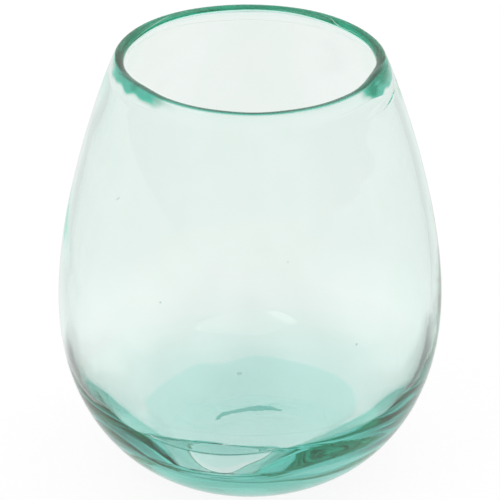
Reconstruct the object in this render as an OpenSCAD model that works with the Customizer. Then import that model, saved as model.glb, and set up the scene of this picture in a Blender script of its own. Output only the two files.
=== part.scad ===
// Stemless wine glass, hand blown in two gathers, with a wrapped lip and a pontil scar.
// Millimetres, +Z up. The origin is on the table, under the middle of the foot.
// The outline is two curves that meet at the belly. Each follows four control points.

/* [Outline] */
// Height from the table to the crest of the lip
glass_h = 111; // [102:0.5:120]
// Widest outside diameter, at the belly
belly_d = 96.5; // [88:0.5:104]
// Height of the belly above the table
belly_h = 45.5; // [42:0.5:50]
// Outside diameter of the wall where its line reaches the height of the crest
mouth_d = 67; // [60:0.5:74]
// Lean of the wall towards the axis at the mouth, in degrees
mouth_lean = 23; // [15:1:28]
// Length of wall below the mouth that holds this lean
mouth_pull = 10; // [6:0.5:14]
// Height over which the wall above the belly stays nearly upright
shoulder_pull = 24.5; // [18:0.5:30]
// Height over which the wall below the belly is drawn down towards the heel
heel_pull = 36; // [30:0.5:40]

/* [Foot] */
// Diameter of the flat ring that the glass stands on
foot_d = 44; // [40:0.5:50]
// Width over which the heel rolls off the table
foot_roll = 2; // [1:0.5:4]
// Diameter of the hollow under the base
punt_d = 35; // [28:0.5:37]
// Height of that hollow in its middle
punt_rise = 0.7; // [0.7:0.05:1.5]

/* [Bowl] */
// Thickness of the wall from the belly to the lip
wall_t = 2.3; // [1.8:0.1:2.8]
// Height of the inside floor above the table
floor_h = 12; // [9:0.5:14]
// How much higher than the outside the inside turns from the wall to the floor
cavity_lift = 1; // [1:0.25:6]
// How much wider than the foot the inside floor stays nearly flat, on each side
cavity_spread = 8; // [0:0.5:8]

/* [Second gather] */
// Height that the second gather reaches up the outside
gather_h = 30; // [24:0.5:38]
// Thickness of the second gather at its upper edge
gather_edge_t = 0.7; // [0.4:0.05:1]

/* [Lip] */
// Thickness of the wrapped lip, and diameter of its rounded crest
lip_t = 3; // [2.6:0.1:3.8]
// Height of the lip below its crest
lip_h = 3; // [2.5:0.1:5]
// Greatest further drop of the lip where its end laps over its start
lap_drop = 1.7; // [0.5:0.1:3]
// Width of one lobe of the lap
lobe_w = 5.4; // [4.8:0.1:7]
// Angle round the axis from the right side to the middle of the lap, in degrees
lap_turn = -11; // [-60:1:60]
// Angle from one lobe to the next, in degrees
lobe_step = 7; // [5:0.5:8]
// Thickness of the thread of glass that trails from the lap
thread_d = 0.9; // [0.6:0.1:1.4]
// Depth of the thread below the crest
thread_drop = 7.5; // [6.5:0.1:10]
// Angle that the thread runs round the wall, in degrees
thread_arc = 22; // [10:1:60]

/* [Pontil scar] */
// Outside diameter of the scar
scar_d = 20; // [14:0.5:22]
// Width of the crescent at its fullest
scar_w = 1.8; // [1.2:0.1:3]
// Thickness of the glass that the pontil leaves
scar_t = 0.3; // [0.2:0.05:0.35]
// Direction of the fullest part, in degrees from the right side
scar_turn = 150; // [0:5:355]

/* [Hidden] */
$fn = 96;
// Straight steps in which each curve of the outline is drawn
curve_steps = 32;
// Length by which a cut runs past what it cuts
overrun = 1;
// How far each lobe of the lap drops, as a share of lap_drop, from front to back
lobe_drop_shares = [0.3, 0.6, 0.9, 1, 0.8, 0.35];
// Steps in which the thread thins out, and the shares of one step that its drop and each arc take
thread_steps = 6;
thread_rise_share = 0.4;
thread_lap_share = 1.1;

belly_r = belly_d / 2;
mouth_r = mouth_d / 2;
foot_r = foot_d / 2;
punt_r = punt_d / 2;
lip_r = lip_t / 2;
thread_r = thread_d / 2;
// Radius of the sphere that hollows the punt
punt_sphere_r = (punt_r * punt_r + punt_rise * punt_rise) / (2 * punt_rise);
// Wall of the bubble where the second gather covers it
bubble_t = wall_t - gather_edge_t;
lip_seat_z = glass_h - lip_h;

// Control points of the two outside curves and of the round at the bottom of the inside
low_outline = [[foot_r, 0], [foot_r + foot_roll, 0], [belly_r, belly_h - heel_pull], [belly_r, belly_h]];
high_outline = [
    [belly_r, belly_h],
    [belly_r, belly_h + shoulder_pull],
    [mouth_r + mouth_pull * sin(mouth_lean), glass_h - mouth_pull * cos(mouth_lean)],
    [mouth_r, glass_h]
];
low_inside = [
    [0, floor_h],
    [foot_r + cavity_spread, floor_h],
    [belly_r - wall_t, belly_h - heel_pull + cavity_lift],
    [belly_r - wall_t, belly_h]
];

// A point of the curve on four control points, and the direction of the curve there
function curve_point(p, t) =
    pow(1 - t, 3) * p[0] + 3 * pow(1 - t, 2) * t * p[1] + 3 * (1 - t) * pow(t, 2) * p[2] + pow(t, 3) * p[3];
function curve_slope(p, t) =
    pow(1 - t, 2) * (p[1] - p[0]) + 2 * (1 - t) * t * (p[2] - p[1]) + pow(t, 2) * (p[3] - p[2]);

// The point that lies a depth to the left of the curve, which is towards the axis on the outline
function inset_point(p, t, depth) =
    let (slope = curve_slope(p, t))
    curve_point(p, t) + depth * [-slope[1], slope[0]] / norm(slope);

// The whole curve in straight steps, moved aside by depth
function curve_points(p, depth) = [for (i = [0:curve_steps]) inset_point(p, i / curve_steps, depth)];
function reversed(list) = [for (i = [len(list) - 1:-1:0]) list[i]];

// Radius of the outside above the belly at height z, found by halving the curve
function outside_r(z, low = 0, high = 1, turns = 24) =
    let (middle = (low + high) / 2)
    let (here = curve_point(high_outline, middle))
    turns == 0 ? here[0] : here[1] < z ? outside_r(z, middle, high, turns - 1) : outside_r(z, low, middle, turns - 1);

// Centre of the rounded crest, whose outer side lies on the line of the wall
crest_z = glass_h - lip_r;
crest_r = mouth_r + (lip_r - lip_r * sin(mouth_lean)) * tan(mouth_lean) - lip_r * cos(mouth_lean);

// Half section of everything inside the outline
module outline_section() {
    polygon(concat([[0, 0]], curve_points(low_outline, 0), curve_points(high_outline, 0), [[0, glass_h]]));
}

// Half section of the space for the wine, open upwards
module cavity_section() {
    polygon(concat(
        curve_points(low_inside, 0),
        curve_points(high_outline, wall_t),
        [[mouth_r - wall_t, glass_h + overrun], [0, glass_h + overrun]]
    ));
}

// Half section of the bubble before the second gather went over it
module bubble_section() {
    polygon(concat([[0, floor_h - bubble_t]], curve_points(low_inside, -bubble_t), [[0, belly_h]]));
}

// Half section of a band that follows the wall, from outer outside its line to inner inside it
module wall_band(outer, inner, low_z, high_z) {
    intersection() {
        polygon(concat(curve_points(high_outline, -outer), reversed(curve_points(high_outline, inner))));
        translate([0, low_z]) square([belly_r, high_z - low_z]);
    }
}

// Half section of the lip, flush with the wall outside and rounded over the crest
module lip_section() {
    wall_band(0, lip_t, belly_h, crest_z + lip_r * sin(mouth_lean));
    translate([crest_r, crest_z]) circle(r = lip_r);
}

// A tall block with its lower end rounded, lying along the radius at a given angle
module lobe(turn, drop) {
    lobe_z = lip_seat_z - drop + lobe_w / 2;
    rotate([0, 0, turn]) {
        translate([0, 0, lobe_z]) rotate([0, 90, 0]) cylinder(d = lobe_w, h = belly_r);
        translate([0, -lobe_w / 2, lobe_z]) cube([belly_r, lobe_w, glass_h - lobe_z]);
    }
}

// Everything at the mouth that belongs to the lip, with the lap's lobes hanging below
module lip_zone() {
    middle = (len(lobe_drop_shares) - 1) / 2;
    translate([0, 0, lip_seat_z]) cylinder(r = belly_r, h = lip_h + overrun);
    for (i = [0:len(lobe_drop_shares) - 1]) {
        lobe(lap_turn + (i - middle) * lobe_step, lobe_drop_shares[i] * lap_drop);
    }
}

// The thread: it drops from the lip, then thins out round the wall, half round on the glass
module thread() {
    thread_z = glass_h - thread_drop;
    start_turn = lap_turn + lobe_step / 2;
    step_arc = thread_arc / thread_steps;
    rotate([0, 0, start_turn]) rotate_extrude(angle = step_arc * thread_rise_share) {
        wall_band(thread_r, 0, thread_z, crest_z);
        wall_band(thread_r, lip_r, lip_seat_z, crest_z);
    }
    for (i = [0:thread_steps - 1]) {
        rotate([0, 0, start_turn - i * step_arc]) rotate_extrude(angle = step_arc * thread_lap_share)
            difference() {
                translate([outside_r(thread_z), thread_z]) circle(r = thread_r * (1 - i / thread_steps));
                outline_section();
            }
    }
}

// The first gather, blown into the bubble that holds the wine
module bowl() {
    color([0.84, 0.95, 0.92, 0.45]) difference() {
        rotate_extrude() difference() {
            intersection() {
                outline_section();
                union() {
                    translate([0, gather_h]) square([belly_r, glass_h - gather_h]);
                    bubble_section();
                }
            }
            cavity_section();
        }
        lip_zone();
    }
}

// The second gather: thick heel, flat ring to stand on and hollow underside
module base() {
    color([0.55, 0.80, 0.74, 0.55]) difference() {
        rotate_extrude() difference() {
            intersection() {
                outline_section();
                square([belly_r, gather_h]);
            }
            bubble_section();
        }
        translate([0, 0, punt_rise - punt_sphere_r]) sphere(r = punt_sphere_r);
    }
}

// The wrapped lip with its lap and thread
module lip_wrap() {
    color([0.30, 0.68, 0.57, 0.70]) {
        intersection() {
            rotate_extrude() lip_section();
            lip_zone();
        }
        thread();
    }
}

// The crescent that the pontil leaves on the roof of the punt
module pontil_scar() {
    color([0.40, 0.72, 0.64, 0.75]) difference() {
        intersection() {
            cylinder(d = scar_d, h = punt_rise);
            translate([0, 0, punt_rise - punt_sphere_r]) sphere(r = punt_sphere_r);
        }
        translate([0, 0, punt_rise - punt_sphere_r - scar_t]) sphere(r = punt_sphere_r);
        rotate([0, 0, scar_turn]) translate([-scar_w, 0, -overrun])
            cylinder(d = scar_d - scar_w / 2, h = punt_rise + 2 * overrun);
    }
}

bowl();
base();
lip_wrap();
pontil_scar();
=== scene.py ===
# %% [markdown]
# # A hand blown stemless wine glass
# The real thing is one vessel of recycled, faintly green glass. A blower gathers glass on an iron, blows it
# into a bubble, gathers a second coat over its lower half, and wraps and melts the lip at the end. Clear
# glass has no colour of its own to paint. Nearly all that the photograph shows is bent light: the dark
# edges come from shape and from how much glass the light crosses. The aqua disc on the floor and the green
# of the lip are painted on as well: a painted shadow of the thick base, and painted green and a painted
# dark line for light trapped in the lip. So this lesson spends its effort on exact surfaces, and lets the
# renderer bend the rest of the light. The first cell loads the imported model, which is the frame that
# every piece has to fit.

# %% Load the frame
import math

import bpy
import numpy as np
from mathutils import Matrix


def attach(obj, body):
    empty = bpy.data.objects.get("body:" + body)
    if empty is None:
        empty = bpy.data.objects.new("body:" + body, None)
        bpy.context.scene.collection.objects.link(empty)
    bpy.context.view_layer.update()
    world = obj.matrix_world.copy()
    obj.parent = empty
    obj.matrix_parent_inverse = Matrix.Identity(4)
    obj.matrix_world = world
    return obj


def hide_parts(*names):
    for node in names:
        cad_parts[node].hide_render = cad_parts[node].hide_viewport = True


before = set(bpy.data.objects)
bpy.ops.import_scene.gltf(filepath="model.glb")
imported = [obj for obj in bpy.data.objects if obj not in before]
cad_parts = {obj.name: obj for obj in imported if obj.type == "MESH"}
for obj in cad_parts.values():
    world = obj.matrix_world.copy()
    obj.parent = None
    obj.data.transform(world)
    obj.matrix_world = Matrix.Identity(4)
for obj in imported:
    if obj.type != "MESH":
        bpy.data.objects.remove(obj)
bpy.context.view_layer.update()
scene = bpy.context.scene
print("CAD nodes:", sorted(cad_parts))

# %% [markdown]
# ## The camera
# The photograph looks down on the glass through a long lens. It doesn't tell from how far: distances from
# one to three metres fitted it about equally well, and 1.5 m was chosen. The height of the eye belongs to
# that distance. It was found by fitting the ellipse of the mouth and the outline of the belly together.

# %% Camera
EYE_DISTANCE = 1.5
EYE_ELEVATION = math.radians(26.37)
AIM_HEIGHT = 0.05786
SENSOR_WIDTH = 36
FOCAL_LENGTH = 430.3

lens = bpy.data.cameras.new("long_lens")
lens.sensor_width = SENSOR_WIDTH
lens.lens = FOCAL_LENGTH
camera = bpy.data.objects.new("camera", lens)
scene.collection.objects.link(camera)
camera.location = (
    0,
    -EYE_DISTANCE * math.cos(EYE_ELEVATION),
    AIM_HEIGHT + EYE_DISTANCE * math.sin(EYE_ELEVATION),
)
camera.rotation_euler = (math.pi / 2 - EYE_ELEVATION, 0, 0)
scene.camera = camera
print("camera at", [round(c, 3) for c in camera.location])

# %% [markdown]
# ## The section of the glass
# Every gather is turned on the iron, so the glass is nearly a body of revolution, and half of its section
# says almost all. The same few numbers that drive the CAD source give that section here, in metres.

# %% Sizes
MM = 0.001
GLASS_H = 111 * MM
BELLY_R = 48.25 * MM
BELLY_H = 45.5 * MM
MOUTH_R = 33.5 * MM
MOUTH_LEAN = math.radians(23)
MOUTH_PULL = 10 * MM
SHOULDER_PULL = 24.5 * MM
HEEL_PULL = 36 * MM
FOOT_R = 22 * MM
FOOT_ROLL = 2 * MM
WALL_T = 2.3 * MM
GATHER_H = 30 * MM
BUBBLE_T = 1.6 * MM
LIP_T = 3 * MM
LIP_H = 3 * MM
print("glass", GLASS_H, "m high and", 2 * BELLY_R, "m wide")

# %% [markdown]
# Each long stretch of the outside is one cubic curve on four control points, and the two curves meet at the
# belly. A subdivided cage could give the shape too, but bent light shows every small flat, and a curve
# stays smooth however finely it is cut. Any height can also be found on it, which places the seams later.

# %% Outline
LOW_OUTLINE = [(FOOT_R, 0), (FOOT_R + FOOT_ROLL, 0), (BELLY_R, BELLY_H - HEEL_PULL), (BELLY_R, BELLY_H)]
HIGH_OUTLINE = [
    (BELLY_R, BELLY_H),
    (BELLY_R, BELLY_H + SHOULDER_PULL),
    (MOUTH_R + MOUTH_PULL * math.sin(MOUTH_LEAN), GLASS_H - MOUTH_PULL * math.cos(MOUTH_LEAN)),
    (MOUTH_R, GLASS_H),
]


def curve_at(points, t):
    """Points of a cubic curve, as an array of (radius, height) pairs."""
    p = [np.array(point) for point in points]
    t = np.asarray(t, float)[..., None]
    return (1 - t) ** 3 * p[0] + 3 * (1 - t) ** 2 * t * p[1] + 3 * (1 - t) * t ** 2 * p[2] + t ** 3 * p[3]


def slope_at(points, t):
    """Unit directions of the same curve."""
    p = [np.array(point) for point in points]
    t = np.asarray(t, float)[..., None]
    slope = (1 - t) ** 2 * (p[1] - p[0]) + 2 * (1 - t) * t * (p[2] - p[1]) + t ** 2 * (p[3] - p[2])
    return slope / np.linalg.norm(slope, axis=-1, keepdims=True)


def share_at_height(points, height):
    """Where along a rising curve a height is reached."""
    t = np.linspace(0, 1, 4001)
    return np.interp(height, curve_at(points, t)[:, 1], t)


gather_share = float(share_at_height(LOW_OUTLINE, GATHER_H))
print("the second gather ends at share", round(gather_share, 3), "of the low curve")

# %% [markdown]
# ## What the hand leaves
# Blown glass is never true: the wall swells and thins by tenths of a millimetre, the bubble sits a little
# off the middle of its coat, and the lip is lumpy where its end was lapped over its start. Sums of a few
# slow waves give that without any random numbers, so each run makes the same glass.

# %% Unevenness
AROUND = 288
TURN = np.arange(AROUND) * 2 * math.pi / AROUND


def smooth(low, high, x):
    """A soft step from 0 at low to 1 at high."""
    s = np.clip((x - low) / (high - low), 0, 1)
    return s * s * (3 - 2 * s)


def hump(x, middle, half):
    """A soft bump that is 1 at the middle and 0 beyond its half width."""
    return 1 - smooth(0, 1, np.abs(x - middle) / half)


def turn_gap(turn, degrees):
    """Angle from a direction, in degrees from -180 to 180."""
    return (np.degrees(turn) - degrees + 180) % 360 - 180


def waves(turn, height, terms):
    """Adds up slow waves. Each term is (size, waves round the axis, waves per metre of height, start)."""
    return sum(
        size * np.cos(around * turn + 2 * math.pi * rise * height + start)
        for size, around, rise, start in terms
    )


OUTER_WAVES = [
    (0.05 * MM, 3, 14, 0.4), (0.035 * MM, 5, 31, 2.1), (0.02 * MM, 9, 47, 4.0), (0.012 * MM, 14, 83, 1.2),
]
INNER_WAVES = [
    (0.07 * MM, 2, 17, 1.9), (0.05 * MM, 5, 26, 0.2), (0.025 * MM, 8, 55, 3.3), (0.015 * MM, 13, 90, 5.0),
]
FLOOR_WAVES = [
    (0.07 * MM, 3, 40, 1.0), (0.03 * MM, 7, 70, 2.6), (0.012 * MM, 12, 110, 0.7), (0.005 * MM, 19, 160, 4.4),
]
print("columns round the axis:", AROUND)

# %% [markdown]
# ## The skin
# All four pieces share one continuous skin: under the foot, out round the heel, up the wall, over the lip,
# down inside and across the floor. It is made once, as a grid of rows round the axis, and the pieces are
# cut from it. That way light crosses from piece to piece with no step, as it does in fused glass. The row
# where the lip begins is not level: it hangs lower where the wrap laps over its own start, and once more at
# the front left, where the wrap came out thick.

# %% Rows of the skin
SEAT = GLASS_H - LIP_H
LAP_DROP = 1.7 * MM
LAP_TURN = -11
LAP_HALF = 24
THICK_TURN = -143
THICK_DROP = 0.8 * MM
THICK_HALF = 16
SEAT_WAVES = [(0.16 * MM, 4, 0, 0.6), (0.1 * MM, 9, 0, 2.0), (0.05 * MM, 17, 0, 1.1)]
THREAD_Z = GLASS_H - 7.5 * MM
THREAD_ROOM = 2.5 * MM
CREST_END = share_at_height(HIGH_OUTLINE, GLASS_H - LIP_T / 2 * (1 - math.sin(MOUTH_LEAN)))

lip_drop = (
    LAP_DROP * hump(turn_gap(TURN, LAP_TURN), 0, LAP_HALF)
    + THICK_DROP * hump(turn_gap(TURN, THICK_TURN), 0, THICK_HALF)
    + waves(TURN, 0, SEAT_WAVES)
)
seam_share = share_at_height(HIGH_OUTLINE, SEAT - lip_drop)
thread_share = share_at_height(HIGH_OUTLINE, THREAD_Z - THREAD_ROOM)


def rows_between(start, end, count, last=True):
    """Evenly spaced rows from start to end, where either may differ round the axis."""
    steps = np.linspace(0, 1, count, endpoint=last)[:, None]
    return (1 - steps) * np.ones(AROUND) * start + steps * np.ones(AROUND) * end


HEEL_COUNT = 44
COAT_COUNT = 18
WALL_COUNT = 42
THREAD_COUNT = 52
LIP_COUNT = 12
CREST_COUNT = 19
heel_rows = rows_between(0, gather_share, HEEL_COUNT, last=False)
coat_rows = rows_between(gather_share, 1, COAT_COUNT, last=False)
wall_rows = rows_between(0, thread_share, WALL_COUNT, last=False)
thread_rows = rows_between(thread_share, seam_share, THREAD_COUNT, last=False)
lip_rows = rows_between(seam_share, CREST_END, LIP_COUNT)
crest_turns = np.linspace(0, math.pi, CREST_COUNT)[1:-1]
print("rows over the outside:", sum(len(r) for r in (heel_rows, coat_rows, wall_rows, thread_rows, lip_rows)))

# %% [markdown]
# The hollow under the foot, the punt, was pressed in while the glass was soft. It meets the ring that the
# glass stands on in a soft edge, so the two are blended instead of meeting at a corner.

# %% Punt and foot
PUNT_R = 17.5 * MM
PUNT_RISE = 0.7 * MM
PUNT_SPHERE_R = (PUNT_R ** 2 + PUNT_RISE ** 2) / (2 * PUNT_RISE)
EDGE_SOFT = 0.1 * MM
FINE_ROWS_R = 12.5 * MM
FINE_COUNT = 50
WIDE_COUNT = 26
ROW_STEP = 0.5 * MM


def punt_height(radius):
    """Height of the underside at a radius, from the roof of the punt out to the foot."""
    cap = PUNT_RISE - PUNT_SPHERE_R + np.sqrt(PUNT_SPHERE_R ** 2 - radius ** 2)
    rounded = (cap + np.sqrt(cap ** 2 + EDGE_SOFT ** 2)) / 2
    return rounded * (1 - smooth(PUNT_R, FOOT_R, radius))


fine_radii = np.linspace(0, FINE_ROWS_R, FINE_COUNT)
wide_radii = np.linspace(FINE_ROWS_R + ROW_STEP, FOOT_R, WIDE_COUNT)[:-1]
punt_radii = np.concatenate([fine_radii, wide_radii])
punt_section = np.stack([punt_radii, punt_height(punt_radii)], axis=-1)
print("punt is", round(float(punt_height(np.array(0.0))) / MM, 2), "mm high")

# %% [markdown]
# The wall inside follows the outside at the wall's thickness. Towards the crest it thickens like a wedge,
# and the wedge traps the light that makes the teal band at the back of the rim, helped by a faint painted
# green along the crest.

# %% Wall thickness
WEDGE = 5 * MM
LIP_WAVES = [(0.12 * MM, 3, 0, 2.2), (0.09 * MM, 7, 0, 0.3), (0.05 * MM, 13, 0, 4.1)]
LAP_SWELL = 0.7 * MM
THICK_SWELL = 0.6 * MM


def wall_thickness(shares, turn):
    """Thickness of the wall above the belly."""
    height = curve_at(HIGH_OUTLINE, shares)[..., 1]
    lip = LIP_T + waves(turn, 0, LIP_WAVES)
    lip = lip + LAP_SWELL * hump(turn_gap(turn, LAP_TURN - 8), 0, 22)
    lip = lip + THICK_SWELL * hump(turn_gap(turn, THICK_TURN), 0, THICK_HALF)
    return WALL_T + (lip - WALL_T) * smooth(GLASS_H - WEDGE, GLASS_H, height)


def inset(points, shares, depth):
    """Points at a depth to the left of a curve, which is inwards on the outline."""
    slope = slope_at(points, shares)
    return curve_at(points, shares) + depth[..., None] * np.stack([-slope[..., 1], slope[..., 0]], axis=-1)


print("lip", round(float(wall_thickness(CREST_END, TURN).max()) / MM, 2), "mm thick at most")

# %% [markdown]
# The crest is a half round as thick as the lip is there, so a lumpy lip also has a lumpy crest.

# %% Outside, crest and inner wall


def all_round(section):
    """Repeats one section in every column."""
    return np.repeat(section[:, None, :], AROUND, axis=1)


outer_parts = [
    all_round(punt_section),
    curve_at(LOW_OUTLINE, heel_rows),
    curve_at(LOW_OUTLINE, coat_rows),
    curve_at(HIGH_OUTLINE, wall_rows),
    curve_at(HIGH_OUTLINE, thread_rows),
    curve_at(HIGH_OUTLINE, lip_rows),
]
crest_radius = wall_thickness(lip_rows[-1], TURN) / 2
crest_middle = inset(HIGH_OUTLINE, lip_rows[-1], crest_radius)
along = slope_at(HIGH_OUTLINE, lip_rows[-1])
outward = np.stack([along[..., 1], -along[..., 0]], axis=-1)
crest_part = np.stack([
    crest_middle + crest_radius[:, None] * (math.cos(a) * outward + math.sin(a) * along) for a in crest_turns
])
NECK_COUNT = 16
inside_lip = lip_rows[::-1]
inside_neck = rows_between(thread_share, seam_share, NECK_COUNT, last=False)[::-1]
inside_wall = wall_rows[::-1]
inner_parts = [
    inset(HIGH_OUTLINE, rows, wall_thickness(rows, TURN)) for rows in (inside_lip, inside_neck, inside_wall)
]
print("rows over the crest:", len(crest_part))
print("rows down the inner wall:", sum(len(part) for part in inner_parts))

# %% [markdown]
# The floor inside is nearly flat. At the front left the bubble has a sharper inner corner, and that corner
# bends the light into the pale window low in the photograph. So two floors are drawn, an even one and a
# sharp one, with their points spread the same way, and each column takes a blend of the two.

# %% Floor inside
FLOOR_COUNT = 150
ROUND_COUNT = 24
LOOK_FLOOR = 11.2 * MM
SIDE_INSIDE = [
    (0, LOOK_FLOOR), (28 * MM, LOOK_FLOOR), (BELLY_R - WALL_T, 12.5 * MM), (BELLY_R - WALL_T, BELLY_H),
]
FRONT_INSIDE = [
    (BELLY_R - WALL_T, BELLY_H), (BELLY_R - WALL_T, 32 * MM), (42 * MM, 21 * MM), (38 * MM, 13 * MM),
    (20 * MM, LOOK_FLOOR), (0, LOOK_FLOOR),
]
FRONT_REACHES = (10 * MM, 6 * MM, 3.5 * MM, 14 * MM)
FRONT_TURN = -103
FRONT_HALF = 47


def rounded(corners, reaches):
    """A chain of points through corners, each of which is rounded over its reach."""
    chain = [np.array(corners[0])]
    for before, corner, after, reach in zip(corners[:-2], corners[1:-1], corners[2:], reaches):
        before, corner, after = (np.array(point) for point in (before, corner, after))
        start = corner + reach * (before - corner) / np.linalg.norm(before - corner)
        end = corner + reach * (after - corner) / np.linalg.norm(after - corner)
        for t in np.linspace(0, 1, ROUND_COUNT):
            chain.append((1 - t) ** 2 * start + 2 * (1 - t) * t * corner + t ** 2 * end)
    return np.array(chain + [np.array(corners[-1])])


def way_along(chain):
    """How far along a chain each of its points lies, from 0 to 1."""
    steps = np.linalg.norm(np.diff(chain, axis=0), axis=1)
    return np.concatenate([[0], np.cumsum(steps)]) / steps.sum()


even = curve_at(SIDE_INSIDE, np.linspace(1, 0, 1200))
floor_ways = np.linspace(0, 1, FLOOR_COUNT + 1)[1:]
even_floor = np.stack([np.interp(floor_ways, way_along(even), even[:, k]) for k in (0, 1)], axis=-1)
sharp = rounded(FRONT_INSIDE, FRONT_REACHES)
sharp_floor = np.stack([np.interp(floor_ways, way_along(sharp), sharp[:, k]) for k in (0, 1)], axis=-1)
sharpness = hump(turn_gap(TURN, FRONT_TURN), 0, FRONT_HALF)[None, :, None]
inner_parts.append(all_round(even_floor) * (1 - sharpness) + all_round(sharp_floor) * sharpness)
print("sharp corner spans", 2 * FRONT_HALF, "degrees round the axis")

# %% [markdown]
# The parts are joined into one section per column. The row numbers at which they meet are the places to cut
# later.

# %% Join the section
parts = outer_parts + [crest_part] + inner_parts
section = np.concatenate(parts)
counts = np.cumsum([len(part) for part in parts])
GATHER_ROW = counts[1]
LIP_ROW = counts[4]
CREST_ROW = counts[5]
INSIDE_ROW = counts[6]
SEAM_INSIDE_ROW = counts[7] - 1
LAST_ROW = counts[-1] - 1
print("skin rows:", len(section))

# %% [markdown]
# Now the unevenness is laid on. Each point moves along the section's own normal, and then the whole glass
# is pulled a little oval. The inside also slides sideways towards the floor: the bubble settled off the
# middle.

# %% Directions and zones of the section
tangent = np.gradient(section, axis=0)
tangent = tangent / np.maximum(np.linalg.norm(tangent, axis=-1, keepdims=True), 1e-12)
section_normal = np.stack([tangent[..., 1], -tangent[..., 0]], axis=-1)
row_of = np.arange(len(section))[:, None] * np.ones(AROUND)
height = section[..., 1]
radius = section[..., 0]
inside = row_of >= INSIDE_ROW
outside = (row_of > counts[0]) & (row_of < CREST_ROW)
near_axis = smooth(0, 14 * MM, radius)
print("rows of the outside:", int(outside[:, 0].sum()), "and of the inside:", int(inside[:, 0].sum()))

# %% [markdown]
# The ripples are the swells that the blowpipe leaves in the wall. They fade at the foot, at the lip and at
# the two sides, where a ripple would show as a dent in the outline. The thread and the bulge of the lap
# stand out from the wall at the right, where the wrap ends.

# %% Ripples, thread and lap
SIDE_CALM = 0.7
THREAD_RIDGE = 0.14 * MM
THREAD_W = 0.6 * MM
THREAD_RISE = 0.8 * MM
LAP_BULGE = 0.28 * MM

sides = np.cos(TURN) ** 4
outer_ripple = waves(TURN, height, OUTER_WAVES) * smooth(1 * MM, 12 * MM, height)
inner_ripple = waves(TURN, height, INNER_WAVES) * near_axis * smooth(14 * MM, 30 * MM, height)
ripple = np.where(inside, inner_ripple, np.where(outside, outer_ripple, 0))
ripple = ripple * (1 - SIDE_CALM * smooth(SEAT - 6 * MM, SEAT, height)) * (1 - SIDE_CALM * sides)
floor_lumps = waves(TURN, radius, FLOOR_WAVES) * near_axis * (1 - smooth(26 * MM, 40 * MM, height))
floor_lumps = floor_lumps * (1 - SIDE_CALM * sides * smooth(26 * MM, 34 * MM, radius))
ripple = ripple + np.where(inside, floor_lumps, 0)

thread_gap = turn_gap(TURN, LAP_TURN - 9)
thread_run = hump(thread_gap, 0, 17)
thread_line = THREAD_Z + THREAD_RISE * smooth(-12, 12, thread_gap)
thread_ridge = THREAD_RIDGE * thread_run * hump(height, thread_line, THREAD_W)
lap_bulge = LAP_BULGE * hump(turn_gap(TURN, LAP_TURN - 6), 0, 26) * smooth(SEAT - 3 * MM, SEAT, height)
ripple = ripple + np.where(outside, thread_ridge + lap_bulge, 0)
section = section + ripple[..., None] * section_normal
for pole in (0, -1):
    section[pole, :, 0] = 0
    section[pole, :, 1] = section[pole, 0, 1]
print("ripples and ridges reach", round(float(np.abs(ripple).max()) / MM, 2), "mm")

# %% [markdown]
# The bubble's own underside is where the two gathers fused. It lies a wall's thickness below the cavity,
# and thinner under the sharp corner, where the bubble sagged.

# %% Underside of the bubble
THINNER_UP = 0.35
THINNER_FRONT = 0.55
bubble_rows = np.arange(LAST_ROW, CREST_ROW, -1)
bubble_rows = bubble_rows[section[bubble_rows, :, 1].max(axis=1) < GATHER_H - 1 * MM]
bubble_depth = BUBBLE_T * (1 - THINNER_UP * smooth(18 * MM, GATHER_H, height[bubble_rows]))
bubble_depth = bubble_depth * (1 - THINNER_FRONT * sharpness[0, :, 0])
bubble_section = section[bubble_rows] - bubble_depth[..., None] * section_normal[bubble_rows]
bubble_section[0, :, 0] = 0
print("rows of the bubble:", len(bubble_rows))

# %% [markdown]
# Last, the sections are turned into three dimensions. The bubble slid half a millimetre to the left in its
# coat, and the mouth came out a little oval and tilted, because it was opened by hand.

# %% Turn into three dimensions
SLIDE = 0.5 * MM
WIDER = 0.004
NARROWER = 0.003
TILT_WAVES = [(0.25 * MM, 1, 0, 2.6), (0.15 * MM, 2, 0, 0.5), (0.06 * MM, 5, 0, 1.0)]


def slide(height):
    """How far the bubble has slid to the left at a height."""
    return -SLIDE * (1 - smooth(14 * MM, 60 * MM, height))


def turned(part, slides):
    """Turns a section into points, and adds the slide, the oval and the tilt of the mouth."""
    r, z = part[..., 0], part[..., 1]
    mouth = smooth(50 * MM, GLASS_H, z)
    x = r * np.cos(TURN) * (1 + WIDER * mouth) + slides * slide(z)
    y = r * np.sin(TURN) * (1 - NARROWER * mouth)
    z = z + mouth * waves(TURN, 0, TILT_WAVES)
    z = z + mouth * MM * (0.45 * hump(turn_gap(TURN, -130), 0, 45) - 0.15 * hump(turn_gap(TURN, -50), 0, 30))
    return np.stack([x, y, z], axis=-1)


skin = turned(section, np.where(inside, 1.0, 0.0))
bubble = turned(bubble_section, 1.0)


def grid_normals(grid):
    """Unit normals of a grid, from its rows and its columns."""
    round_axis = np.roll(grid, -1, axis=1) - np.roll(grid, 1, axis=1)
    along_rows = np.gradient(grid, axis=0)
    normal = np.cross(round_axis, along_rows)
    size = np.linalg.norm(normal, axis=-1, keepdims=True)
    return normal / np.maximum(size, 1e-15)


skin_normal = grid_normals(skin)
skin_normal[0] = (0, 0, -1)
skin_normal[-1] = (0, 0, 1)
bubble_normal = grid_normals(bubble)
bubble_normal[0] = (0, 0, -1)
print("skin", skin.shape, "bubble", bubble.shape, "top", round(float(skin[..., 2].max()) / MM, 2), "mm")

# %% [markdown]
# ## Cutting the skin into pieces
# A piece is a chain of rows that closes on itself: over the skin, and back along the seam where it is fused
# to the next piece. Each face carries a mark, 1 on a seam and 0 on real skin, which the material reads
# later. The normals come from the whole skin, so the shading runs on across a seam with no line.

# %% Mesh from a chain of rows
POINT_SIZE = 1e-9


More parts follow.
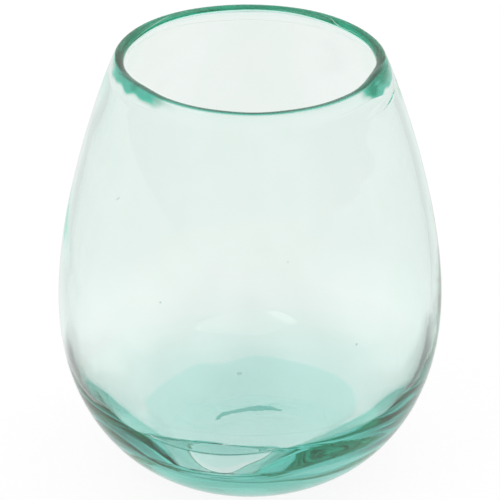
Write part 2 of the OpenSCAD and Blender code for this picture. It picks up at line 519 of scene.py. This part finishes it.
def row_mesh(name, rows, normals, seams, closed=False, greener=None):
    """Makes one closed mesh. Seams has one 0 or 1 for each pair of rows."""
    points, index = [], []
    for row in rows:
        pole = np.ptp(row, axis=0).max() < POINT_SIZE
        index.append(np.full(len(row), len(points)) if pole else len(points) + np.arange(len(row)))
        points.extend(row[:1] if pole else row)
    faces, corner_normals, marks = [], [], []
    pairs = [(i, i + 1) for i in range(len(rows) - 1)] + ([(len(rows) - 1, 0)] if closed else [])
    for (low, high), seam in zip(pairs, seams):
        a, b = index[low], index[high]
        seam = np.broadcast_to(seam, len(a))
        for j in range(len(a)):
            k = (j + 1) % len(a)
            corners = [
                (a[j], normals[low][j]), (a[k], normals[low][k]),
                (b[k], normals[high][k]), (b[j], normals[high][j]),
            ]
            if a[j] == a[k]:
                corners.pop(1)
            if b[j] == b[k]:
                corners.pop(-2)
            faces.append([c[0] for c in corners])
            corner_normals.extend([c[1] for c in corners])
            marks.append(float(seam[j]))
    mesh = bpy.data.meshes.new(name)
    mesh.from_pydata([tuple(p) for p in points], [], faces)
    mark = mesh.attributes.new("seam", "FLOAT", "FACE")
    mark.data.foreach_set("value", marks)
    if greener is not None:
        deep = mesh.attributes.new("greener", "FLOAT", "POINT")
        deep.data.foreach_set("value", greener.ravel())
    mesh.polygons.foreach_set("use_smooth", [True] * len(faces))
    mesh.normals_split_custom_set([tuple(n) for n in corner_normals])
    piece = bpy.data.objects.new(name, mesh)
    scene.collection.objects.link(piece)
    print(name, len(points), "points,", len(faces), "faces")
    return piece


# %% [markdown]
# The bowl is the first gather: the wall, the inside, and the round underside of the bubble. A Screw modifier
# could spin it from a profile, but then it would be the same all round, and no hand blown glass is.

# %% Bowl
SEAM_GAP = 0.02 * MM
wall = slice(GATHER_ROW, LIP_ROW + 1)
cavity = slice(SEAM_INSIDE_ROW, LAST_ROW + 1)
bowl = row_mesh(
    "bowl_glass",
    np.concatenate([bubble, skin[wall], skin[cavity]]),
    np.concatenate([-bubble_normal, skin_normal[wall], skin_normal[cavity]]),
    [1] * len(bubble) + [0] * (LIP_ROW - GATHER_ROW) + [1] + [0] * (LAST_ROW - SEAM_INSIDE_ROW),
)

# %% [markdown]
# The pontil is the iron that holds the glass by its foot while the mouth is worked. It leaves a crescent of
# rough glass on the roof of the punt. Its outline comes before the base, because the base is fused to it.

# %% Outline of the scar
SCAR_R = 10 * MM
SCAR_W = 1.8 * MM
SCAR_T = 0.3 * MM
SCAR_TURN = math.radians(106)
SCAR_BACK = 5 * MM
SCAR_RIGHT = 1.2 * MM
SCAR_HALF = math.radians(70)
SCAR_HOLLOW_R = SCAR_R - SCAR_W / 4
SCAR_OUTER_WAVES = [(0.18 * MM, 4, 0, 1.0), (0.12 * MM, 9, 0, 0.2), (0.06 * MM, 17, 0, 2.0)]
SCAR_INNER_WAVES = [(0.2 * MM, 5, 0, 0.4), (0.1 * MM, 11, 0, 1.7)]


def scar_edges(turn):
    """Inner and outer edge of the crescent in a direction, measured from its fullest part."""
    inner = -SCAR_W * np.cos(turn) + np.sqrt(SCAR_HOLLOW_R ** 2 - (SCAR_W * np.sin(turn)) ** 2)
    return inner + waves(turn, 0, SCAR_INNER_WAVES), SCAR_R + waves(turn, 0, SCAR_OUTER_WAVES)


print("the scar spans", round(2 * math.degrees(SCAR_HALF)), "degrees")

# %% [markdown]
# The base is the second gather. Its skin runs from the punt round the heel to the edge of the coat, and its
# seam lies a hair's breadth under the bubble, so that the two gathers never share a face. Where the pontil
# left its scar, the roof of the punt is a seam as well.

# %% Base
underside = slice(0, GATHER_ROW + 1)
middles = (skin[:GATHER_ROW] + np.roll(skin[:GATHER_ROW], -1, axis=1)) / 2
middles = (middles + (skin[1:GATHER_ROW + 1] + np.roll(skin[1:GATHER_ROW + 1], -1, axis=1)) / 2) / 2
from_scar = np.arctan2(middles[..., 1] - SCAR_BACK, middles[..., 0] - SCAR_RIGHT) - SCAR_TURN
middle_r = np.hypot(middles[..., 0] - SCAR_RIGHT, middles[..., 1] - SCAR_BACK)
scar_inner, scar_outer = scar_edges(from_scar)
under_scar = (middle_r > scar_inner) & (middle_r < scar_outer) & (middles[..., 2] < 2 * PUNT_RISE)
under_scar &= np.cos(from_scar) > math.cos(SCAR_HALF)
base_rows = skin[underside].copy()
base_rows[-1, :, 2] -= SEAM_GAP
base_bubble = (bubble + SEAM_GAP * bubble_normal)[::-1]
base = row_mesh(
    "base_glass",
    np.concatenate([base_rows, base_bubble]),
    np.concatenate([skin_normal[underside], -bubble_normal[::-1]]),
    list(under_scar.astype(float)) + [1] * len(bubble),
)

# %% [markdown]
# The lip is the wrap of glass that was melted round the mouth. Where it lies thick, light trapped in it
# comes out greener and darker, and that is painted on: painted green in two patches with a lobed lower
# edge, and a painted dark line along the crest at the front. Each point gets a number in a point attribute
# that the material reads later. Up to 1 it fades in the painted green of the patches, and from 1 to 2 it
# deepens to the painted dark line. Painting it by hand would not follow the lobes as well.

# %% Painted green and dark line of the lip
LOBE_WAVES = [(0.35 * MM, 23, 0, 1.0), (0.25 * MM, 37, 0, 0.2)]
LINE_WAVES = [(0.15, 5, 0, 0.3), (0.1, 11, 0, 2.0)]
LEFT_GREEN = 1.35
RIGHT_GREEN = 1.3
INSIDE_GREEN = 0.15
LINE_BACK = 0.2
LINE_FRONT = 1.85
MOST_GREEN = 2
lip = slice(LIP_ROW, SEAM_INSIDE_ROW + 1)
lip_depth = GLASS_H - height[lip]
degrees = turn_gap(TURN, 0)


def window(start, end, soft):
    """A soft window over the degrees round the axis."""
    return smooth(start - soft, start + soft, degrees) * (1 - smooth(end - soft, end + soft, degrees))


lobed_depth = lip_depth + waves(TURN, 0, LOBE_WAVES)
# Painted green patches and a painted dark line, standing for light trapped in the thick wrap.
painted_left_patch = LEFT_GREEN * window(-172, -131, 11) * (1 - smooth(1.3 * MM, 2.9 * MM, lobed_depth))
painted_right_patch = RIGHT_GREEN * window(-32, 4, 4) * (1 - smooth(3.2 * MM, 4.4 * MM, lobed_depth))
painted_crest_line = np.zeros_like(lip_depth)
crest_span = slice(CREST_ROW - LIP_ROW, INSIDE_ROW - LIP_ROW)
painted_crest_line[crest_span] = np.minimum(2 * hump(np.degrees(crest_turns), 82, 70), 1)[:, None]
front_side = window(-185, 5, 12) + window(175, 200, 8)
painted_crest_line = painted_crest_line * (LINE_BACK + LINE_FRONT * front_side + waves(TURN, 0, LINE_WAVES))
painted_inner_band = INSIDE_GREEN * (row_of[lip] >= INSIDE_ROW) * (1 - smooth(1 * MM, 3 * MM, lip_depth))
greener = np.clip(np.maximum.reduce([painted_left_patch, painted_right_patch, painted_crest_line, painted_inner_band]), 0, MOST_GREEN)
print("share of the lip that is greener:", round(float((greener > 0.5).mean()), 2))

# %% [markdown]
# The chain of the lip closes like a ring, with no ends. Its seam with the bowl is a hair's breadth above
# the bowl's.

# %% Lip
lip_skin = skin[lip].copy()
for seam_row in (0, -1):
    lip_skin[seam_row, :, 2] += SEAM_GAP
lip_seams = [0] * (len(lip_skin) - 1) + [1]
lip_piece = row_mesh("lip_glass_wrap", lip_skin, skin_normal[lip], lip_seams, closed=True, greener=greener)

# %% [markdown]
# The scar is what stayed behind when the iron was cracked off. It is swept along its arc as a thin section
# that is flat above, where it is fused, and lumpy below. A torus cut in half would be quicker, but it would
# stand out from the curved roof at both ends.

# %% Pontil scar
SCAR_STATIONS = 90
SCAR_ACROSS = 14
SCAR_LEAST_W = 0.1 * MM
SCAR_OFF_TABLE = 0.06 * MM
across = np.linspace(0, 1, SCAR_ACROSS)
scar_rings = []
for turn in np.linspace(-1, 1, SCAR_STATIONS) * SCAR_HALF:
    inner, outer = scar_edges(turn)
    reach = np.linspace(inner, max(outer, inner + SCAR_LEAST_W), SCAR_ACROSS)
    heading = np.array([math.cos(turn + SCAR_TURN), math.sin(turn + SCAR_TURN)])
    spot = reach[:, None] * heading + (SCAR_RIGHT, SCAR_BACK)
    roof = punt_height(np.hypot(spot[:, 0], spot[:, 1])) - SEAM_GAP
    lumps = np.sin(math.pi * across) ** 0.6 * (0.65 + 0.35 * np.cos(23 * turn + 9 * across))
    fade = (0.15 + 0.85 * math.cos(turn / 2) ** 2) * (1 - abs(turn) / (1.01 * SCAR_HALF)) ** 0.5
    depth = np.minimum(SCAR_T * lumps * fade, roof - SCAR_OFF_TABLE)
    upper = np.column_stack([spot, roof])
    lower = np.column_stack([spot, roof - depth - SEAM_GAP])
    scar_rings.append(np.concatenate([lower, upper[::-1]]))
scar_rings = np.array(scar_rings)
tips = [np.repeat(scar_rings[end].mean(axis=0)[None], 2 * SCAR_ACROSS, axis=0) for end in (0, -1)]
scar_rings = np.concatenate([tips[:1], scar_rings, tips[1:]])
scar_marks = np.concatenate([np.zeros(SCAR_ACROSS), np.ones(SCAR_ACROSS - 1), [0]])
scar = row_mesh(
    "pontil_scar_glass", scar_rings, grid_normals(scar_rings), [scar_marks] * (len(scar_rings) - 1),
)

# %% [markdown]
# ## A small language for materials
# Shader maths reads best as a formula. This class wraps a node's output, so that adding or multiplying two
# of them adds the Math node, and one method makes any other node.

# %% Values with arithmetic


class Value:
    """An output of a node, with arithmetic."""

    def __init__(self, sheet, socket):
        self.sheet = sheet
        self.socket = socket

    def math(self, operation, *inputs):
        """The Math node of an operation, on one or two inputs."""
        return self.sheet.node("ShaderNodeMath", {"operation": operation}, dict(enumerate(inputs)))

    def __add__(self, other):
        return self.math("ADD", self, other)

    def __mul__(self, other):
        return self.math("MULTIPLY", self, other)

    def __sub__(self, other):
        return self.math("SUBTRACT", self, other)

    def __rsub__(self, other):
        return self.math("SUBTRACT", other, self)

    def __pow__(self, other):
        return self.math("POWER", self, other)

    def __rpow__(self, other):
        return self.math("POWER", other, self)

    def __lt__(self, other):
        return self.math("LESS_THAN", self, other)

    def __abs__(self):
        return self.math("ABSOLUTE", self)

    __radd__ = __add__
    __rmul__ = __mul__


print("arithmetic on sockets is ready")

# %% [markdown]
# A sheet is the node tree of one material. Its one method takes the type of a node, its settings, and the
# value or the link of each socket. Ramps and colour mixes are used so often that they have a short name
# each.

# %% A sheet of nodes


def set_stops(elements, stops):
    """Gives a Color Ramp its stops, each a place and a grey or a colour."""
    for place, _ in stops[2:]:
        elements.new(place)
    for element, (place, shade) in zip(elements, sorted(stops)):
        element.position = place
        element.color = shade if isinstance(shade, tuple) else (shade, shade, shade, 1)


class Sheet:
    """The node tree of one material or of the world."""

    def __init__(self, tree):
        self.tree = tree
        tree.nodes.clear()

    def node(self, kind, settings=None, inputs=None, output=0):
        """Makes one node and gives the output that is asked for."""
        made = self.tree.nodes.new(kind)
        for name, setting in (settings or {}).items():
            if name == "stops":
                set_stops(made.color_ramp.elements, setting)
            else:
                setattr(made, name, setting)
        for name, value in (inputs or {}).items():
            if isinstance(value, Value):
                self.tree.links.new(value.socket, made.inputs[name])
            else:
                made.inputs[name].default_value = value
        return Value(self, made.outputs[output]) if made.outputs else None

    def ramp(self, value, *stops):
        """A Color Ramp over a value from 0 to 1."""
        return self.node("ShaderNodeValToRGB", {"stops": stops}, {"Fac": value})

    def mix(self, factor, first, second, blend="MIX"):
        """A colour between two colours, or the first darkened by the second where blend is MULTIPLY."""
        settings = {"data_type": "RGBA", "blend_type": blend}
        return self.node("ShaderNodeMix", settings, {0: factor, 6: first, 7: second}, output=2)


def new_material(name):
    """A material and its empty sheet."""
    material = bpy.data.materials.new(name)
    material.use_nodes = True
    return material, Sheet(material.node_tree)


print("sheets of nodes are ready")

# %% [markdown]
# ## The glass
# Recycled glass keeps a trace of iron, which takes red light first. That is set as absorption per metre, so
# a thin wall looks clear and the thick base looks aqua. Little colour is painted on, apart from the painted
# shadow disc on the floor of the bowl and the painted green and dark line of the lip. The skin carries
# slow swells, cords drawn out upwards and a fine grain, all as bump. On a seam the glass lets light
# straight through, because fused glass has no surface there.

# %% Glass material
GLASS_IOR = 1.52
WHITE = (1, 1, 1, 1)
SWELL_SCALE = 70
CORD_SCALE = 260
GRAIN_SCALE = 1500
DRAWN_OUT = (1, 1, 0.35)
WORN_MORE = 2.2


def melt(sheet, place):
    """The three noises of the skin: swells, cords and grain."""
    slow = sheet.node("ShaderNodeTexNoise", {}, {"Vector": place, "Scale": SWELL_SCALE, "Detail": 2})
    stretched = sheet.node("ShaderNodeMapping", {}, {"Vector": place, "Scale": DRAWN_OUT})
    cords = sheet.node("ShaderNodeTexNoise", {}, {"Vector": stretched, "Scale": CORD_SCALE, "Detail": 3})
    fine = sheet.node("ShaderNodeTexNoise", {}, {"Vector": place, "Scale": GRAIN_SCALE, "Detail": 2})
    return slow, cords, fine


def glass(name, taken, tint, ripple_depth, marks=None, cloudy=True, rough=0.0):
    """Glass that takes so much red, green and blue per metre. Marks is a function that tints its skin: seeds,
    a painted shadow and painted green are given this way.
    """
    material, sheet = new_material(name)
    place = sheet.node("ShaderNodeTexCoord", output="Object")
    slow, cords, fine = melt(sheet, place)
    relief = slow * 0.6 + cords * 0.3 + fine * 0.02
    bump = sheet.node("ShaderNodeBump", {}, {"Height": relief, "Strength": 1, "Distance": ripple_depth})
    shade = (*tint, 1)
    if cloudy:
        cloud = sheet.ramp(slow * 0.7 + cords * 0.3, (0.3, 0.0), (0.7, 1.0))
        shade = sheet.mix(cloud, shade, WHITE)
    if marks:
        shade = marks(sheet, place, slow, shade)
    wear = rough
    if rough:
        wear = sheet.ramp(cords * 0.5 + fine * 0.5, (0.45, rough), (0.7, rough * WORN_MORE))
    clear = sheet.node("ShaderNodeBsdfPrincipled", {}, {
        "Base Color": shade,
        "Roughness": wear,
        "IOR": GLASS_IOR,
        "Transmission Weight": 1,
        "Normal": bump,
    })
    seam = sheet.node("ShaderNodeAttribute", {"attribute_name": "seam"}, output="Fac")
    through = sheet.node("ShaderNodeBsdfTransparent")
    density = max(taken)
    volume = sheet.node("ShaderNodeVolumeAbsorption", {}, {
        "Color": (*[1 - t / density for t in taken], 1),
        "Density": density,
    })
    sheet.node("ShaderNodeOutputMaterial", {}, {
        "Surface": sheet.node("ShaderNodeMixShader", {}, {0: seam, 1: clear, 2: through}),
        "Volume": volume,
    })
    print(name, "takes", taken, "per metre of red, green and blue")
    return material


# %% [markdown]
# The base is the plainest glass: deep, slightly cloudy and fire polished. The scar is the only rough one.
# It is broken glass a third of a millimetre thick, so its green has to be strong to be seen through the
# floor.

# %% Base and scar glass
BASE_TAKES = (23, 7, 8.5)
BASE_TINT = (0.98, 0.99, 0.985)
SCAR_TAKES = (110, 28, 45)
SCAR_TINT = (0.06, 0.42, 0.36)
base.data.materials.append(glass("base_glass", BASE_TAKES, BASE_TINT, 0.03 * MM))
scar.data.materials.append(glass("scar_glass", SCAR_TAKES, SCAR_TINT, 0.2 * MM, cloudy=False, rough=0.05))

# %% [markdown]
# Two kinds of tint belong to the bowl's skin. The floor of the bubble shows a disc of deeper aqua with a
# fainter halo behind it: that is a painted shadow, the aqua shadow that the thick base casts on the floor
# beneath, painted onto the skin. Seeds are the small air bubbles of hand blown glass, and one dark fleck
# lies on the floor. The disc, the seeds and the fleck are tints of the skin at a place in space, so they
# stay where they are from every side. A real bubble would need its own closed surface, which is a lot of
# mesh for half a millimetre. A Color Ramp reads 0 to 1, so lengths are divided by the length that the ramp
# spans.

# %% Painted shadow disc and seeds
RAMP_SPAN = 50 * MM
DISC_R = 27.3 * MM
DISC_TOP = 15 * MM
DISC_WOBBLE = 1.5 * MM
DISC_SOFT = 1 * MM
# The disc and its halo are painted shadow: the aqua shadow of the thick base, tinted onto the skin.
SHADOW_DISC_TINT = (0.59, 0.92, 0.86, 1)
SHADOW_HALO = [(0.54, 0.5), (0.7, 0.3), (0.88, 0.0)]
SHADOW_HALO_HEIGHT = [(0.32, 1.0), (0.68, 0.0)]
SHADOW_HALO_BACK = [(0.55, 0.0), (0.95, 1.0)]
SEEDS = [(-146, 39.3, 0.5), (-118, 64, 0.35), (-57, 52, 0.4), (-78, 76, 0.3), (140, 58, 0.4), (35, 70, 0.4)]
SEED_TINT = (0.5, 0.62, 0.58, 1)
FLECK = (-2.2 * MM, 22 * MM, 12.35 * MM)
FLECK_R = 0.9 * MM
FLECK_TINT = (0.35, 0.55, 0.5, 1)


def on_wall(degrees, height):
    """The point of the outside of the wall at an angle and a height."""
    radius = float(curve_at(HIGH_OUTLINE, share_at_height(HIGH_OUTLINE, height))[..., 0])
    return radius * math.cos(math.radians(degrees)), radius * math.sin(math.radians(degrees)), height


def shadow_disc_and_seeds(sheet, place, slow, shade):
    """Adds the painted shadow disc of the floor, its painted halo, the seeds and the fleck."""
    x, y, z = (sheet.node("ShaderNodeSeparateXYZ", {}, {0: place}, output=axis) for axis in "XYZ")
    out = ((x * x + y * y) ** 0.5 + (slow - 0.5) * DISC_WOBBLE) * (1 / RAMP_SPAN)
    up = z * (1 / RAMP_SPAN)
    rim = [(DISC_R - DISC_SOFT / 2) / RAMP_SPAN, (DISC_R + DISC_SOFT) / RAMP_SPAN]
    edge = sheet.ramp(out, (rim[0], 1.0), (rim[1], 0.0))
    low = sheet.ramp(up, (DISC_TOP / RAMP_SPAN, 1.0), ((DISC_TOP + DISC_SOFT) / RAMP_SPAN, 0.0))
    behind = sheet.ramp(y * (1 / RAMP_SPAN) + 0.5, *SHADOW_HALO_BACK)
    halo = sheet.ramp(out, *SHADOW_HALO) * sheet.ramp(up, *SHADOW_HALO_HEIGHT) * behind
    # Painted shadow: the aqua disc and its halo behind it.
    disc = out.math("MAXIMUM", edge * low, halo)
    shade = sheet.mix(disc, shade, SHADOW_DISC_TINT)
    seeds = [(on_wall(degrees, high * MM), size * MM, SEED_TINT) for degrees, high, size in SEEDS]
    for middle, size, tint in seeds + [(FLECK, FLECK_R, FLECK_TINT)]:
        ends = {0: place, 1: middle}
        gap = sheet.node("ShaderNodeVectorMath", {"operation": "DISTANCE"}, ends, output="Value")
        spot = sheet.ramp(gap * (0.5 / size), (0.3, 1.0), (0.5, 0.0))
        shade = sheet.mix(spot, shade, tint)
    return shade


WALL_TAKES = (26, 3, 6.5)
WALL_TINT = (0.972, 0.985, 0.974)
bowl.data.materials.append(glass("wall_glass", WALL_TAKES, WALL_TINT, 0.04 * MM, marks=shadow_disc_and_seeds))

# %% [markdown]
# The lip is the same glass with the painted green patches and the painted dark line that were marked on its
# points.

# %% Lip glass
LIP_TAKES = (26, 2.5, 6)
LIP_TINT = (0.975, 0.99, 0.985)
# Painted green of light trapped in the wrap, and the painted dark line along the crest.
PAINTED_PATCH_GREEN = (0.015, 0.42, 0.27, 1)
PAINTED_LINE_DARK = (0.01, 0.06, 0.035, 1)


def painted_wrap_shade(sheet, place, slow, shade):
    """Adds the painted green patches and the painted dark line of the wrap."""
    greener = sheet.node("ShaderNodeAttribute", {"attribute_name": "greener"}, output="Fac")
    shade = sheet.mix(greener, shade, PAINTED_PATCH_GREEN)
    return sheet.mix(greener - 1, shade, PAINTED_LINE_DARK)


lip_piece.data.materials.append(glass("lip_glass", LIP_TAKES, LIP_TINT, 0.04 * MM, marks=painted_wrap_shade))

# %% [markdown]
# ## Floor and light
# The photograph was taken on white, so the floor shines white to the camera. One part in ten of it is a
# plain matt surface instead, which keeps the soft shadow of the glass. Light that the glass bends finds
# pale paper, with a painted shadow of the glass on it, a little greyer under the foot. Where it crossed
# fewer than three surfaces, which is one wall or the base, it also finds dark zones to the left and the
# right of the glass. They stand for dark things beside a photographer's table, and they draw the dark
# crescents at the foot. Through two walls the floor stays pale, so the glass looks clean from every side.
# Light Path tells these rays apart.

# %% Floor
FLOOR_HALF = 6
FLOOR_TONE = (0.92, 0.92, 0.92, 1)
SHINING = 0.9
FEW = 3
floor_mesh = bpy.data.meshes.new("floor")
corners = [(-FLOOR_HALF, -FLOOR_HALF, 0), (FLOOR_HALF, -FLOOR_HALF, 0)]
corners += [(FLOOR_HALF, FLOOR_HALF, 0), (-FLOOR_HALF, FLOOR_HALF, 0)]
floor_mesh.from_pydata(corners, [], [(0, 1, 2, 3)])
floor = bpy.data.objects.new("floor", floor_mesh)
scene.collection.objects.link(floor)


def path_facts(sheet):
    """What Light Path says: seen by the camera, by a reflection, by bent light, after few surfaces."""
    names = ("Is Camera Ray", "Is Glossy Ray", "Is Transmission Ray", "Transmission Depth")
    facts = [sheet.node("ShaderNodeLightPath", output=name) for name in names]
    return facts[0], facts[1], facts[2], facts[3] < FEW


print("floor", 2 * FLOOR_HALF, "m wide")

# %% [markdown]
# The tones of the floor follow its two directions, left to right and front to back, in tenths of a metre.

# %% Floor material
TENTH = 10
REFLECTED_PAPER = (0.84, 0.82, 0.81, 1)
# The greyer paper under and near the foot is a painted shadow of the glass, seen only by bent light.
SHADOWED_PAPER = (0.87, 0.853, 0.84, 1)
HALF_SHADOWED_PAPER = (0.925, 0.907, 0.893, 1)
SIDE_PAPER = (0.99, 0.97, 0.955, 1)
FAR_PAPER = (0.92, 0.9, 0.885, 1)
PAPER = [(0.08, SHADOWED_PAPER), (0.18, HALF_SHADOWED_PAPER), (0.27, HALF_SHADOWED_PAPER), (0.4, SIDE_PAPER)]
PAPER_FAR = [(0.42, 0.0), (0.6, 1.0)]
DARK_SIDES = [(0.44, 1.0), (0.5, 0.4), (0.58, 0.14), (0.88, 0.14), (0.98, 0.9)]
PALE_SIDES = [(0.62, 1.0), (1.0, 0.78)]
SIDES_FAR = [(0.42, 0.0), (0.65, 1.0)]

floor_material, sheet = new_material("white_floor")
camera_ray, glossy_ray, bent_ray, few = path_facts(sheet)
spot = sheet.node("ShaderNodeTexCoord", output="Object")
across_floor, along_floor = (
    abs(sheet.node("ShaderNodeSeparateXYZ", {}, {0: spot}, output=axis)) * TENTH for axis in "XY"
)
shadowed_paper = sheet.ramp(across_floor + 0.15 * along_floor, *PAPER)
shadowed_paper = sheet.mix(sheet.ramp(along_floor * 0.5, *PAPER_FAR), shadowed_paper, FAR_PAPER)
dark_sides = sheet.ramp(across_floor - 0.4 * along_floor, *DARK_SIDES)
pale_sides = sheet.ramp(across_floor - 0.2 * along_floor, *PALE_SIDES)
side_zones = sheet.mix(sheet.ramp(along_floor, *SIDES_FAR), dark_sides, pale_sides)
bent_tone = sheet.mix(few, shadowed_paper, side_zones, blend="MULTIPLY")
tone = sheet.mix(camera_ray, sheet.mix(bent_ray, REFLECTED_PAPER, bent_tone), WHITE)
shines = camera_ray * SHINING + (1 - camera_ray) * SHINING * tone.math("MINIMUM", glossy_ray + bent_ray, 1.0)
matt = sheet.node("ShaderNodeBsdfDiffuse", {}, {"Color": FLOOR_TONE})
shine = sheet.node("ShaderNodeEmission", {}, {"Color": tone, "Strength": 1})
sheet.node("ShaderNodeOutputMaterial", {}, {
    "Surface": sheet.node("ShaderNodeMixShader", {}, {0: shines, 1: matt, 2: shine}),
})
floor_mesh.materials.append(floor_material)
print("floor tones from", DARK_SIDES[2][1], "to", WHITE[0])

# %% [markdown]
# The world is a pale dome, a little brighter overhead. Glass needs something dark to bend into its edges,
# or it vanishes: a photographer stands black cards on both sides. Here the dome itself is darker at the
# sides, and dimmer overhead, only for light that the glass bent.

# %% World
RISE = [(0.0, 0.9), (0.3, 0.9), (0.6, 0.95), (1.0, 1.3)]
CARDS = [(0.62, 1.0), (0.9, 0.2)]
OVERHEAD = [(0.5, 1.0), (0.85, 0.62)]
WARMTH = (1, 0.98, 0.965, 1)

world = bpy.data.worlds.new("studio")
scene.world = world
world.use_nodes = True
sky = Sheet(world.node_tree)
_, _, bent_ray, few = path_facts(sky)
direction = sky.node("ShaderNodeTexCoord", output="Generated")
sideways, upwards = (sky.node("ShaderNodeSeparateXYZ", {}, {0: direction}, output=axis) for axis in "XZ")
cards = sky.mix(few, WHITE, sky.ramp(abs(sideways), *CARDS))
dimmed = sky.mix(1.0, cards, sky.ramp(upwards, *OVERHEAD), blend="MULTIPLY")
dome = sky.mix(bent_ray, sky.ramp(upwards, *RISE), dimmed, blend="MULTIPLY")
dome = sky.mix(1.0, dome, WARMTH, blend="MULTIPLY")
background = sky.node("ShaderNodeBackground", {}, {"Color": dome, "Strength": 1})
sky.node("ShaderNodeOutputWorld", {}, {"Surface": background})
print("sky from", RISE[0][1], "at the floor to", RISE[-1][1], "overhead")

# %% [markdown]
# Two large soft lamps make the faint shadow on the floor and the sheen of the wall. They are hidden from
# bent light, because their bright squares would show again in the base.

# %% Softboxes
LAMP_SIZE = (1.8, 1.8)
LAMP_POWER = 10.5
LAMP_AIM = (0, 0, 0.05)


def softbox(name, place):
    """A large soft lamp that faces the glass."""
    lamp = bpy.data.lights.new(name, "AREA")
    lamp.shape = "RECTANGLE"
    lamp.size, lamp.size_y = LAMP_SIZE
    lamp.energy = LAMP_POWER
    box = bpy.data.objects.new(name, lamp)
    scene.collection.objects.link(box)
    box.location = place
    box.visible_transmission = False
    aim = np.array(LAMP_AIM) - np.array(place)
    flat = math.hypot(aim[0], aim[1])
    box.rotation_euler = (math.atan2(flat, -aim[2]), 0, math.atan2(aim[1], aim[0]) - math.pi / 2)


softbox("left_softbox", (-1.4, -0.8, 1.8))
softbox("right_softbox", (1.4, 0.5, 1.9))

# %% [markdown]
# Light crosses many surfaces in glass, so the path may be long before it ends. With short paths the edges
# of the glass would turn black.

# %% Long paths
LONGEST_PATH = 160
scene.view_settings.view_transform = "Standard"
for limit in ("max_bounces", "transmission_bounces", "glossy_bounces", "transparent_max_bounces"):
    setattr(scene.cycles, limit, LONGEST_PATH)
print("longest path:", scene.cycles.max_bounces, "bounces")

# %% [markdown]
# ## Place the pieces
# Each piece stands for its CAD node and moves with the one body. The last column is the name of the finish
# the piece was given above; it is not read here.

# %% Ride and replace
for piece, node, slot in (
    (bowl, "bowl", "wall_glass"),
    (base, "base", "base_glass"),
    (lip_piece, "lip_wrap", "lip_glass"),
    (scar, "pontil_scar", "scar_glass"),
):
    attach(piece, "root")
    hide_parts(node)
    print(piece.name, "stands for", node)
